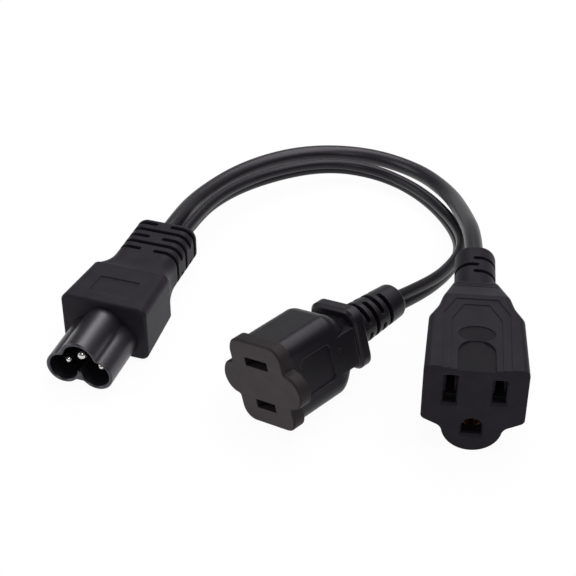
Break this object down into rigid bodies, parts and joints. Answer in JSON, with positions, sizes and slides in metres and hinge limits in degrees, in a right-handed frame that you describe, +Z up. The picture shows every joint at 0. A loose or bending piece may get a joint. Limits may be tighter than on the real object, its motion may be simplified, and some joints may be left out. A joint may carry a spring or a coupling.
{
  "type": "power splitter lead",
  "caption": "Short moulded power lead: a clover-leaf inlet plug feeds a grounded socket over a round cord and a polarised flat-blade socket over a flat twin cord.",
  "frame": {"origin": "middle of the inlet plug's flat underside", "axes": "-Y out of the inlet's mouth along its pins, +X to the right towards the sockets, +Z up from the surface it lies on"},
  "size_m": [0.1339, 0.147, 0.0279],
  "materials": {
    "housing": "satin moulded",
    "shroud": "semi-gloss",
    "face": "fine matt",
    "pin": "nickel plated",
    "contact": "bare sheet",
    "lead": "satin",
    "cord": "satin"
  },
  "bodies": {
    "root": {"inlet_housing": "housing", "grounded_housing": "housing", "two_slot_housing": "housing", "inlet_shroud": "shroud", "grounded_face": "face", "two_slot_face": "face", "line_pin": "pin", "neutral_pin": "pin", "earth_pin": "pin", "grounded_neutral_contact": "contact", "grounded_line_contact": "contact", "grounded_earth_contact": "contact", "two_slot_neutral_contact": "contact", "two_slot_line_contact": "contact", "earth_lead": "lead", "line_lead": "lead", "neutral_lead": "lead", "flat_neutral_lead": "lead", "flat_line_lead": "lead", "grounded_line_lead": "lead", "grounded_neutral_lead": "lead", "grounded_earth_lead": "lead", "two_slot_neutral_lead": "lead", "two_slot_line_lead": "lead", "round_cord": "cord", "flat_cord": "cord"}
  },
  "joints": []
}
